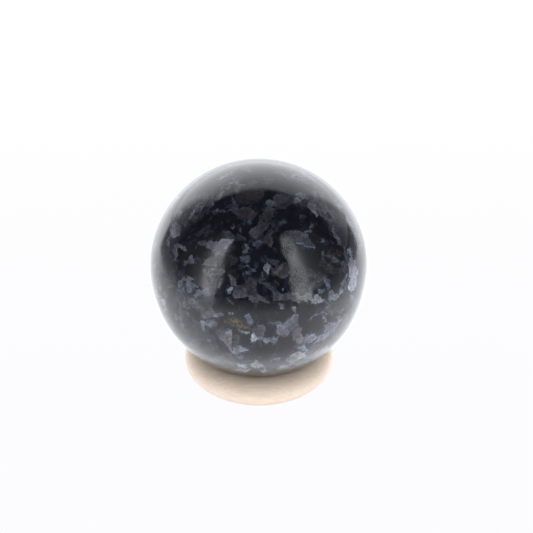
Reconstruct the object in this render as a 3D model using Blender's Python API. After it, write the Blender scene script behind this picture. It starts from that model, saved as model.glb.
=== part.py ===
"""Polished stone ball resting on a turned wooden ring.

Two loose pieces, in metres, +Z up, standing on z = 0 with the axis of the ring on the Z axis:
stone_sphere, a solid ball, and ring_stand, a ring of round section with a narrow flat foot.
"""

import math

import bmesh
import bpy
from mathutils import Vector

# Driving dimensions
BALL_DIAMETER = 0.060
RING_OUTER_DIAMETER = 0.042
RING_SECTION_DIAMETER = 0.008
RING_FOOT_WIDTH = 0.004
SEAT_GAP = 0.0003

# Facets
BALL_MERIDIANS = 72
BALL_PARALLELS = 36
RING_STEPS = 72
SECTION_STEPS = 20
SHARP_ANGLE = math.radians(35)

# Finishes: colour, roughness and metallic value of the bare material
STONE = ("polished_stone", (0.020, 0.021, 0.030), 0.08, 0.0)
WOOD = ("pale_wood", (0.72, 0.55, 0.40), 0.50, 0.0)

# Worked out from the dimensions above
BALL_RADIUS = BALL_DIAMETER / 2
SECTION_RADIUS = RING_SECTION_DIAMETER / 2
RING_CENTRE_RADIUS = RING_OUTER_DIAMETER / 2 - SECTION_RADIUS
# The foot is a chord of the round section, so the section's centre is this high above it.
SECTION_HEIGHT = math.sqrt(SECTION_RADIUS**2 - (RING_FOOT_WIDTH / 2) ** 2)
# Ball and section are two circles whose centres are this far apart where the ball sits in the ring.
SEAT_REACH = BALL_RADIUS + SECTION_RADIUS + SEAT_GAP
BALL_HEIGHT = SECTION_HEIGHT + math.sqrt(SEAT_REACH**2 - RING_CENTRE_RADIUS**2)


def clear_scene():
    """Removes every object that the file opened with."""
    for obj in list(bpy.data.objects):
        bpy.data.objects.remove(obj, do_unlink=True)


def make_material(name, colour, roughness, metallic):
    """A Principled material of one colour."""
    material = bpy.data.materials.new(name)
    material.use_nodes = True
    shader = material.node_tree.nodes["Principled BSDF"]
    shader.inputs["Base Color"].default_value = (*colour, 1.0)
    shader.inputs["Roughness"].default_value = roughness
    shader.inputs["Metallic"].default_value = metallic
    material.diffuse_color = (*colour, 1.0)
    return material


def add_object(name, mesh_in_memory, finish, location=(0, 0, 0)):
    """Turns a bmesh into a named object with one finish, shaded smooth except at real edges."""
    bmesh.ops.recalc_face_normals(mesh_in_memory, faces=mesh_in_memory.faces)
    mesh = bpy.data.meshes.new(name)
    mesh_in_memory.to_mesh(mesh)
    mesh_in_memory.free()
    mesh.shade_smooth()
    mesh.set_sharp_from_angle(angle=SHARP_ANGLE)
    mesh.materials.append(make_material(*finish))
    obj = bpy.data.objects.new(name, mesh)
    obj.location = location
    bpy.context.scene.collection.objects.link(obj)
    return obj


def section_point(angle):
    """A point of the ring's round section; the angle is 0 on the outside and a quarter turn on top."""
    radius = RING_CENTRE_RADIUS + SECTION_RADIUS * math.cos(angle)
    height = SECTION_HEIGHT + SECTION_RADIUS * math.sin(angle)
    return Vector((radius, 0.0, height))


def make_ring_stand():
    """The ring: an arc from one edge of the foot over the top to the other, spun round the Z axis."""
    foot_angle = math.asin(SECTION_HEIGHT / SECTION_RADIUS)
    sweep = math.pi + 2 * foot_angle
    shape = bmesh.new()
    profile = []
    for step in range(SECTION_STEPS + 1):
        angle = -foot_angle + sweep * step / SECTION_STEPS
        profile.append(shape.verts.new(section_point(angle)))
    edges = []
    for start, end in zip(profile, profile[1:] + profile[:1]):
        edges.append(shape.edges.new((start, end)))
    bmesh.ops.spin(
        shape,
        geom=profile + edges,
        cent=(0, 0, 0),
        axis=(0, 0, 1),
        angle=math.tau,
        steps=RING_STEPS,
        use_merge=True,
    )
    return add_object("ring_stand", shape, WOOD)


def make_stone_sphere():
    """The ball, lowered into the ring until only the seat's gap is left all round."""
    shape = bmesh.new()
    bmesh.ops.create_uvsphere(
        shape, u_segments=BALL_MERIDIANS, v_segments=BALL_PARALLELS, radius=BALL_RADIUS
    )
    return add_object("stone_sphere", shape, STONE, location=(0, 0, BALL_HEIGHT))


clear_scene()
make_ring_stand()
make_stone_sphere()
print(f"ball centre {BALL_HEIGHT * 1000:.2f} mm up, section centre {SECTION_HEIGHT * 1000:.2f} mm up")
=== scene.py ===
# %% [markdown]
# # A polished stone ball on a wooden ring
# The real thing is a ball turned from a dark igneous rock and polished like a mirror. It rests in a small
# ring of pale wood. This lesson dresses both pieces: the CAD solids give their size and place, and every
# surface that shows is worked out here with numpy and finished with shader nodes.

import math

import bpy
import numpy as np
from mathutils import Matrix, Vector


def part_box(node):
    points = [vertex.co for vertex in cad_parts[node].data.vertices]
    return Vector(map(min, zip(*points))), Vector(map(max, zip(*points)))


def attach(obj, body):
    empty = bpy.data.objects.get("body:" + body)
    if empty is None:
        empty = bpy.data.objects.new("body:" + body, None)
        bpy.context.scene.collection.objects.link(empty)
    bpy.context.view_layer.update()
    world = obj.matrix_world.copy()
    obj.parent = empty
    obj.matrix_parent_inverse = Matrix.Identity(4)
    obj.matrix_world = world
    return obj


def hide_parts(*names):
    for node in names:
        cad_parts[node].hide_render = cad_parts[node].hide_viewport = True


MM = 0.001

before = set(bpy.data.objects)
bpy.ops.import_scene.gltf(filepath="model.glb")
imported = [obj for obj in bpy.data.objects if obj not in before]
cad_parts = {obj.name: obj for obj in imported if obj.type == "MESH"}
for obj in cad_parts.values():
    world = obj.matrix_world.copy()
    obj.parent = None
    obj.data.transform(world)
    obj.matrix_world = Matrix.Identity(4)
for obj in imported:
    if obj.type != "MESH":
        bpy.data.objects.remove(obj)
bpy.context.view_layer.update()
ball_low, ball_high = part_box("stone_sphere")
ring_low, ring_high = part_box("ring_stand")
ball_centre = (np.array(ball_low) + np.array(ball_high)) / 2
ball_radius = (ball_high.z - ball_low.z) / 2
print(f"ball radius {ball_radius / MM:.2f} mm, centre {ball_centre[2] / MM:.2f} mm up")

# %% [markdown]
# ## The camera
# The photograph looks down on the ball from a third of a right angle, through a long lens. A long lens far
# away keeps the ball's outline round and shows the ring almost as a parallel drawing would. The lens is
# worked out from how large the ball stands in the picture, so one number sets the framing.

# %% Place the camera
PICTURE = 533
SENSOR = 36.0
CAMERA_HEIGHT = math.radians(33.6)
RADII_AWAY = 16.5
BALL_OUTLINE = 109.1
BALL_SPOT = (258.8, 267.2)

camera_distance = RADII_AWAY * ball_radius
sight = np.array([0.0, -math.cos(CAMERA_HEIGHT), math.sin(CAMERA_HEIGHT)])
sight_up = np.array([0.0, math.sin(CAMERA_HEIGHT), math.cos(CAMERA_HEIGHT)])
sight_right = np.array([1.0, 0.0, 0.0])


def make_camera():
    """Looks at the ball's centre. The lens makes the ball's outline BALL_OUTLINE pixels in radius, and a
    shift puts its centre at BALL_SPOT in a picture of PICTURE pixels."""
    camera = bpy.data.objects.new("camera", bpy.data.cameras.new("camera"))
    camera.location = ball_centre + sight * camera_distance
    camera.rotation_mode = "QUATERNION"
    camera.rotation_quaternion = Vector(sight).to_track_quat("Z", "Y")
    pixels_per_tangent = BALL_OUTLINE / math.tan(math.asin(ball_radius / camera_distance))
    camera.data.sensor_width = SENSOR
    camera.data.lens = pixels_per_tangent * SENSOR / PICTURE
    camera.data.shift_x = (PICTURE / 2 - BALL_SPOT[0]) / PICTURE
    camera.data.shift_y = (BALL_SPOT[1] - PICTURE / 2) / PICTURE
    bpy.context.scene.collection.objects.link(camera)
    bpy.context.scene.camera = camera
    return camera


camera = make_camera()
print(f"lens {camera.data.lens:.1f} mm at {camera_distance:.3f} m")

# %% [markdown]
# ## Helpers for nodes and meshes
# A material is a graph. Written out in full, each node takes four or five lines, so a helper adds a node,
# sets it and fills or links its inputs in one call. Meshes come from arrays: `foreach_set` copies a whole
# numpy array into the mesh at once, where a loop over vertices would be slow.

# %% Helpers for nodes
def add_node(tree, kind, inputs=None, **settings):
    """Adds a node, sets its properties, then fills or links its inputs by name or by number."""
    node = tree.nodes.new(kind)
    for name, value in settings.items():
        setattr(node, name, value)
    for key, value in (inputs or {}).items():
        if isinstance(value, bpy.types.NodeSocket):
            tree.links.new(value, node.inputs[key])
        else:
            node.inputs[key].default_value = value
    return node


def arithmetic(tree, operation, first, second=0.0, third=0.0):
    """One Math node; returns its result."""
    return add_node(tree, "ShaderNodeMath", {0: first, 1: second, 2: third}, operation=operation).outputs[0]


def mix_colours(tree, share, first, second, blend="MIX"):
    """Mixes two colours by a share from 0 to 1; returns the result."""
    inputs = {0: share, 6: first, 7: second}
    return add_node(tree, "ShaderNodeMix", inputs, data_type="RGBA", blend_type=blend).outputs[2]


def remap(tree, value, low, high, to_low=0.0, to_high=1.0, curve="SMOOTHSTEP"):
    """Carries a value from the range low to high over to to_low to to_high, and stops at its ends."""
    inputs = {"Value": value, "From Min": low, "From Max": high, "To Min": to_low, "To Max": to_high}
    return add_node(tree, "ShaderNodeMapRange", inputs, interpolation_type=curve).outputs[0]


def stored(tree, name, output="Fac"):
    """Reads a number, or with output Color a colour, that is stored on the vertices."""
    return add_node(tree, "ShaderNodeAttribute", attribute_name=name).outputs[output]


def new_material(name):
    """An empty material; returns it with its node tree and its output node."""
    material = bpy.data.materials.new(name)
    material.use_nodes = True
    tree = material.node_tree
    tree.nodes.clear()
    return material, tree, tree.nodes.new("ShaderNodeOutputMaterial")


def join_shader(tree, output, relief, depth, inputs):
    """Ends a material: one Principled shader with these inputs, and a bump depth metres high where relief
    is 1."""
    bump = add_node(tree, "ShaderNodeBump", {"Height": relief, "Strength": 1.0, "Distance": depth})
    shader = add_node(tree, "ShaderNodeBsdfPrincipled", {**inputs, "Normal": bump.outputs["Normal"]})
    tree.links.new(shader.outputs[0], output.inputs["Surface"])


# %% Helpers for meshes
def grid_faces(rows, columns, wrap_rows=False, wrap_columns=False):
    """The four-sided faces between neighbours of a grid numbered row by row. A wrapped side closes on
    itself."""
    row = np.arange(rows if wrap_rows else rows - 1)
    column = np.arange(columns if wrap_columns else columns - 1)
    row, column = np.meshgrid(row, column, indexing="ij")
    next_row = (row + 1) % rows
    next_column = (column + 1) % columns
    corners = (row * columns + column, row * columns + next_column,
               next_row * columns + next_column, next_row * columns + column)
    return np.stack(corners, axis=-1).reshape(-1, 4)


def mesh_piece(name, points, faces, material):
    """Puts an array of points and an array of four-sided faces into a smooth mesh object at the origin."""
    mesh = bpy.data.meshes.new(name)
    mesh.vertices.add(len(points))
    mesh.vertices.foreach_set("co", np.ascontiguousarray(points, dtype=np.float32).ravel())
    mesh.loops.add(faces.size)
    mesh.loops.foreach_set("vertex_index", faces.astype(np.int32).ravel())
    mesh.polygons.add(len(faces))
    mesh.polygons.foreach_set("loop_start", np.arange(0, faces.size, 4, dtype=np.int32))
    mesh.polygons.foreach_set("use_smooth", np.ones(len(faces), dtype=bool))
    mesh.update(calc_edges=True)
    mesh.validate()
    mesh.materials.append(material)
    piece = bpy.data.objects.new(name, mesh)
    bpy.context.scene.collection.objects.link(piece)
    return piece


def give_value(piece, name, values):
    """Stores one number for each vertex, which an Attribute node can read."""
    attribute = piece.data.attributes.new(name, "FLOAT", "POINT")
    attribute.data.foreach_set("value", values.astype(np.float32))


def give_colour(piece, name, colours):
    """Stores one colour for each vertex, which an Attribute node can read."""
    whole = np.concatenate([colours, np.ones((len(colours), 1))], axis=1)
    attribute = piece.data.attributes.new(name, "FLOAT_COLOR", "POINT")
    attribute.data.foreach_set("color", whole.astype(np.float32).ravel())


# %% [markdown]
# ## The studio
# A polished ball is a mirror, so most of the light and dark on it is the room that it stands in. This one
# is a studio: a bright table, a bright wall behind it, and two tall soft lights in front, left and right,
# in a dark room. Each is a plain surface whose brightness is stored on its vertices and only glows, which
# gives soft edges without any picture. The table is white to the camera, and the wall and the two lights
# can't be seen by it, so they never stand in the way of a view from behind.

# %% Glow of the studio
STUDIO_DISTANCE = 1.5
ROOM_GLOW = 0.08
ROOM_TINT = (0.91, 0.97, 1.07, 1.0)
STUDIO_TINT = (0.958, 0.978, 1.020, 1.0)
WHITE = (1.0, 1.0, 1.0, 1.0)


def mix_for_camera(tree, others, camera):
    """The second shader for rays from the camera, the first for all others; returns the result."""
    camera_ray = add_node(tree, "ShaderNodeLightPath").outputs["Is Camera Ray"]
    inputs = {0: camera_ray, 1: others.outputs[0], 2: camera.outputs[0]}
    return add_node(tree, "ShaderNodeMixShader", inputs).outputs[0]


def make_glow_material():
    """Gives off the brightness stored as glow; a camera ray sees the plain colour stored as seen."""
    material, tree, output = new_material("studio_glow")
    light = add_node(tree, "ShaderNodeEmission", {"Color": STUDIO_TINT, "Strength": stored(tree, "glow")})
    plain = add_node(tree, "ShaderNodeEmission", {"Color": stored(tree, "seen", "Color")})
    tree.links.new(mix_for_camera(tree, light, plain), output.inputs["Surface"])
    return material


studio_glow = make_glow_material()


def make_room():
    """The world: white where the camera sees past the table, a dark room for every other ray."""
    world = bpy.data.worlds.new("room")
    bpy.context.scene.world = world
    world.use_nodes = True
    tree = world.node_tree
    tree.nodes.clear()
    dark = add_node(tree, "ShaderNodeBackground", {"Color": ROOM_TINT, "Strength": ROOM_GLOW})
    white = add_node(tree, "ShaderNodeBackground", {"Color": WHITE, "Strength": 1.0})
    output = add_node(tree, "ShaderNodeOutputWorld")
    tree.links.new(mix_for_camera(tree, dark, white), output.inputs["Surface"])


make_room()
bpy.context.scene.view_settings.view_transform = "Standard"
print(f"{studio_glow.name} and a room that glows with {ROOM_GLOW}")


# %% The table
TABLE_RADIUS = 1.6
TABLE_TONE = (0.972, 0.972, 0.990)
TABLE_WHITE_FROM = 0.16

# Brightness by distance from the ring's centre
FADE_DISTANCES = (0.0, 0.020, 0.026, 0.032, 0.045, 0.060, 0.091, 0.124,
                  0.150, 0.172, 0.189, 0.250, 0.380, 1.600)
FADE_VALUES = (0.85, 0.85, 2.08, 1.88, 1.88, 1.92, 1.80, 1.50, 1.20, 1.02, 0.88, 0.56, 0.42, 0.20)

# Share of it by azimuth, which holds between the near reach and the far reach
AROUND_ANGLES = (-180, -150, -120, -90, -60, -30, 0, 30, 60, 90, 120, 150, 180)
AROUND_VALUES = (0.80, 0.95, 1.16, 1.02, 0.85, 0.67, 0.58, 0.70, 0.91, 1.14, 1.38, 1.15, 0.80)
NEAR_SHARE = 0.90
NEAR_REACH = (0.024, 0.046)
FAR_REACH = (0.08, 0.19)

# Brightness in front of the wall by y, in the middle and to the sides, where it widens with y
BEHIND_DISTANCES = (0.05, 0.14, 0.24, 0.50, 0.90)
BEHIND_VALUES = (1.15, 1.40, 1.70, 2.05, 2.30)
BEHIND_SIDE_VALUE = 2.2
BEHIND_SIDE_REACH = (0.03, 0.11)
BEHIND_START = (0.01, 0.10)
BEHIND_HALF_WIDTH = 0.16
BEHIND_WIDER = (0.05, 0.025)
BEHIND_SOFT_EDGE = (-0.16, 0.10)

# The mirrored feet of the lights, by azimuth and distance
LIGHT_FEET = ((-57, -45), (37, 53))
FEET_VALUE = 3.0
FEET_EDGES = (2, 1)
FEET_REACH = (0.12, 0.45)


def ease(value, low, high):
    """0 below low, 1 above high, and 3t^2 - 2t^3 between."""
    share = np.clip((value - low) / (high - low), 0, 1)
    return share * share * (3 - 2 * share)


def table_glow(x, y):
    """Brightness of the table top. It is dark where the ring stands, falls off with the distance from it
    and is weaker towards the viewer than to the sides. In front of the wall it is nearly as bright as the
    wall, and its gloss mirrors the feet of the two lights."""
    distance = np.hypot(x, y)
    azimuth = np.degrees(np.arctan2(x, -y))
    around = np.interp(azimuth, AROUND_ANGLES, AROUND_VALUES)
    around += (NEAR_SHARE - around) * (1 - ease(distance, *NEAR_REACH))
    around += (1 - around) * ease(distance, *FAR_REACH)
    lit = np.interp(distance, FADE_DISTANCES, FADE_VALUES) * around
    half_width = np.maximum(BEHIND_HALF_WIDTH, y + np.where(x < 0, *BEHIND_WIDER))
    outer, inner = np.multiply.outer(BEHIND_SOFT_EDGE, half_width)
    before_wall = ease(y, *BEHIND_START) * ease(half_width - np.abs(x), outer, inner)
    behind = np.interp(y, BEHIND_DISTANCES, BEHIND_VALUES)
    behind += (BEHIND_SIDE_VALUE - behind) * ease(np.abs(x), *BEHIND_SIDE_REACH)
    lit += (behind - lit) * before_wall
    left_edge, right_edge = FEET_EDGES
    for left, right in LIGHT_FEET:
        foot = ease(azimuth, left - left_edge, left + left_edge)
        foot *= 1 - ease(azimuth, right - right_edge, right + right_edge)
        lit += (FEET_VALUE - lit) * foot * ease(distance, *FEET_REACH)
    return lit


def make_table(rings=64, spokes=384):
    """A round table top: points at radius TABLE_RADIUS times the square of a step from 0 to 1, so that they
    crowd near the ball."""
    step = np.linspace(0, 1, rings) ** 2
    step[0] = 1e-6
    turn = np.arange(spokes) / spokes * math.tau
    radius = TABLE_RADIUS * step[:, None]
    points = np.stack([radius * np.cos(turn), radius * np.sin(turn), np.zeros((rings, spokes))], axis=-1)
    points = points.reshape(-1, 3)
    faces = grid_faces(rings, spokes, wrap_columns=True)
    table = mesh_piece("table_top", points, faces, studio_glow)
    give_value(table, "glow", table_glow(points[:, 0], points[:, 1]))
    far = np.clip(points[:, 1:2] / TABLE_WHITE_FROM, 0, 1)
    give_colour(table, "seen", np.array(TABLE_TONE) * (1 - far) + far)
    print(f"{table.name}, {TABLE_RADIUS} m in radius, has {len(faces)} faces")


make_table()


# %% The wall and the two soft lights
def make_card(name, azimuth, across, upward, lean=0.0, steps=64):
    """An upright card STUDIO_DISTANCE from the ball, in the direction azimuth: 0 is towards the viewer and
    90 to the right. Its brightness at a point is the value that across gives for the angle sideways, times
    the share that upward gives for the angle above the ball's centre. Both are lists of degrees and values.
    A lean shifts the card sideways by that share of the height."""
    side_angles, side_values = np.array(across, dtype=float).T
    rise_angles, rise_values = np.array(upward, dtype=float).T
    side = np.tan(np.radians(np.linspace(side_angles[0], side_angles[-1], steps)))
    rise = np.tan(np.radians(np.linspace(rise_angles[0], rise_angles[-1], steps)))
    side, rise = np.meshgrid(side, rise)
    value = np.interp(np.degrees(np.arctan(side)), side_angles, side_values)
    value *= np.interp(np.degrees(np.arctan(rise)), rise_angles, rise_values)
    turn = math.radians(azimuth)
    outwards = np.array([math.sin(turn), -math.cos(turn), 0.0])
    sideways = np.array([math.cos(turn), math.sin(turn), 0.0])
    leaning = side + lean * np.maximum(rise, 0)
    points = ball_centre + STUDIO_DISTANCE * (
        outwards + leaning[..., None] * sideways + rise[..., None] * np.array([0.0, 0.0, 1.0]))
    card = mesh_piece(name, points.reshape(-1, 3), grid_faces(steps, steps), studio_glow)
    give_value(card, "glow", np.maximum(value.ravel(), ROOM_GLOW))
    card.visible_camera = False
    print(f"{name} at {azimuth} degrees, brightness up to {value.max():.2f}")


make_card(
    "back_wall", 180,
    across=[(-75, 0.2), (-60, 0.50), (-50, 0.84), (-45, 1.12), (-42.3, 1.2), (-40.2, 2.3), (-34, 2.5),
            (-20, 2.75), (0, 2.85), (25, 2.95), (36, 2.7), (41, 2.5), (44.7, 1.7), (47.7, 1.1), (51, 0.74),
            (60, 0.45), (75, 0.2)],
    upward=[(-1, 1.0), (0, 1.0), (30, 0.88), (40, 0.75), (50, 0.56), (55.8, 0.45), (57.8, 0.12), (61, 0.0)])
make_card(
    "left_light", -55,
    across=[(-40, 0.18), (-30, 0.20), (-25, 0.24), (-20, 0.33), (-15, 0.50), (-11, 0.72), (-9, 1.0),
            (-7, 1.4), (-5, 1.9), (-3, 2.6), (-1, 3.4), (1, 3.9), (5, 3.9), (7, 3.6), (8.4, 3.1),
            (9.4, 1.2), (12, 0.8), (15, 0.4), (22, 0.15), (28, 0.0)],
    upward=[(-1, 1.0), (0, 1.0), (20, 1.0), (30, 0.75), (45, 0.54), (50, 0.46), (53, 0.20), (56, 0.0)])
make_card(
    "right_light", 50,
    across=[(-16.0, 0.0), (-15.1, 3.3), (-13.6, 3.3), (-13.0, 1.6), (-12.3, 1.8), (-11.5, 4.0), (-8, 4.1),
            (-5, 3.5), (-2.5, 2.8), (0, 2.0), (3, 1.3), (6, 0.85), (10, 0.62), (15, 0.46), (20, 0.36),
            (28, 0.26), (40, 0.20)],
    upward=[(-1, 1.0), (0, 1.0), (15, 0.93), (25, 0.85), (50, 0.85), (55, 0.6), (58, 0.0)],
    lean=0.075)

# %% [markdown]
# ## The ball's surface
# The easy way to a ball is a UV sphere, but its faces shrink to slivers at the poles, and here each vertex
# carries a sample of the stone's pattern, so they should lie evenly. A cube blown up to a ball does that.
# Each of its six faces is one grid of two angles from -45 to 45 degrees. The six grids share their borders,
# so `np.unique` merges the doubled points and the ball closes.

# %% Shape of the ball
BALL_STEPS = 128


def cube_face(towards, sideways, steps):
    """One sixth of a sphere of radius 1: the direction towards + tan(a) sideways + tan(b) upwards, made one
    long, for a and b from -45 to 45 degrees."""
    towards = np.array(towards, dtype=float)
    sideways = np.array(sideways, dtype=float)
    upwards = np.cross(towards, sideways)
    angle = np.tan(np.linspace(-math.pi / 4, math.pi / 4, steps + 1))
    a, b = np.meshgrid(angle, angle, indexing="ij")
    points = towards + a[..., None] * sideways + b[..., None] * upwards
    return (points / np.linalg.norm(points, axis=-1, keepdims=True)).reshape(-1, 3)


def ball_surface(steps):
    """Points and faces of a closed sphere of radius 1 from six cube faces."""
    axes = [(1, 0, 0), (0, 1, 0), (0, 0, 1)]
    points = []
    for number in range(3):
        for sign in (1, -1):
            towards = np.array(axes[number]) * sign
            points.append(cube_face(towards, axes[(number + 1) % 3], steps))
    points = np.concatenate(points)
    side = grid_faces(steps + 1, steps + 1)
    faces = np.concatenate([side + number * (steps + 1) ** 2 for number in range(6)])
    keys = np.round(points * 1e6).astype(np.int64)
    _, first, shared = np.unique(keys, axis=0, return_index=True, return_inverse=True)
    return points[first], shared.reshape(-1)[faces]


directions, ball_faces = ball_surface(BALL_STEPS)
print(f"ball: {len(directions)} points, {2 * len(ball_faces)} triangles")

# %% [markdown]
# ## The grains of the stone
# The rock froze slowly, so its pale feldspar grew as angular laths and wedges in a near-black ground, and
# the polished surface cuts through them. Veined noise gives clouds, and a Voronoi texture gives cells that
# are all alike. Neither has long and short wedges at odd angles, so each grain here is a flat outline with
# straight sides, pushed into the stone like a stamp. For every vertex we work out how far it is from the
# nearest outline, in millimetres, below zero inside. A shader can draw a crisp edge from such a distance
# even though the vertices are 0.4 mm apart. First come the tools: a smooth noise, and the distance.

# %% Noise and distance
def lattice_noise(points, cell, random):
    """A smooth random number from -1 to 1 at each point within a ball of radius 1: random values at the
    corners of cubes of side cell, blended with the weight 3t^2 - 2t^3 along each edge."""
    count = int(2.2 / cell) + 3
    lattice = random.uniform(-1, 1, (count, count, count))
    place = points / cell + count / 2
    corner = np.floor(place).astype(int)
    share = place - corner
    share = share * share * (3 - 2 * share)
    total = np.zeros(len(points))
    for step in np.ndindex(2, 2, 2):
        weight = np.prod(np.where(step, share, 1 - share), axis=1)
        x, y, z = (corner + step).T
        total += weight * lattice[x, y, z]
    return total


def outline_distance(across, up, corners):
    """Distance of each point to a closed outline of straight sides, below zero inside. The nearest place on
    a side is found by projecting on it. A point is inside if a line to the right crosses the outline an odd
    number of times."""
    nearest = np.full(len(across), np.inf)
    inside = np.zeros(len(across), dtype=bool)
    for (x0, y0), (x1, y1) in zip(corners, np.roll(corners, -1, axis=0)):
        side_x, side_y = x1 - x0, y1 - y0
        share = ((across - x0) * side_x + (up - y0) * side_y) / (side_x**2 + side_y**2)
        share = np.clip(share, 0, 1)
        nearest = np.minimum(nearest, np.hypot(across - x0 - share * side_x, up - y0 - share * side_y))
        spans = (y0 <= up) != (y1 <= up)
        slope = side_x / side_y if side_y else 0.0
        inside ^= spans & (across < x0 + (up - y0) * slope)
    return np.where(inside, -nearest, nearest)


LATH_TAPER = 0.45
LATH_CROOK = 0.12


def wedge(length, width, turn, random):
    """Four corners of a lath about the origin: length by width, one end narrower, and a little crooked."""
    taper = random.uniform(-LATH_TAPER, LATH_TAPER)
    half = np.array([length, width]) / 2
    corners = np.array([(-1, -1 - taper), (1, -1 + taper), (1, 1 - taper), (-1, 1 + taper)]) * half
    corners += random.uniform(-LATH_CROOK, LATH_CROOK, (4, 2)) * width
    angle = math.radians(turn)
    along = np.array([math.cos(angle), math.sin(angle)])
    sideways = np.array([-math.sin(angle), math.cos(angle)])
    return corners[:, :1] * along + corners[:, 1:] * sideways


# %% [markdown]
# The front of the ball is laid out one grain at a time, as the photograph shows it: each grain has its
# place to the right of and above the ball's centre, its length and width, and its turn. They are sorted by
# tone and tint. A grain that isn't a plain lath is given by its corners.

# %% Grains on the front
TONES = {"faint": 0.022, "dim": 0.034, "low": 0.056, "mid": 0.088, "bright": 0.132, "white": 0.184,
         "snow": 0.255, "cream": 0.360}
TINTS = {
    "blue": (0.86, 1.02, 1.36),
    "cyan": (0.74, 1.06, 1.24),
    "lavender": (0.965, 1.00, 1.27),
    "mauve": (1.04, 0.97, 1.20),
    "pink": (1.06, 0.98, 1.13),
    "pale": (0.97, 1.01, 1.11),
    "olive": (1.02, 1.01, 0.80),
}

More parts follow.
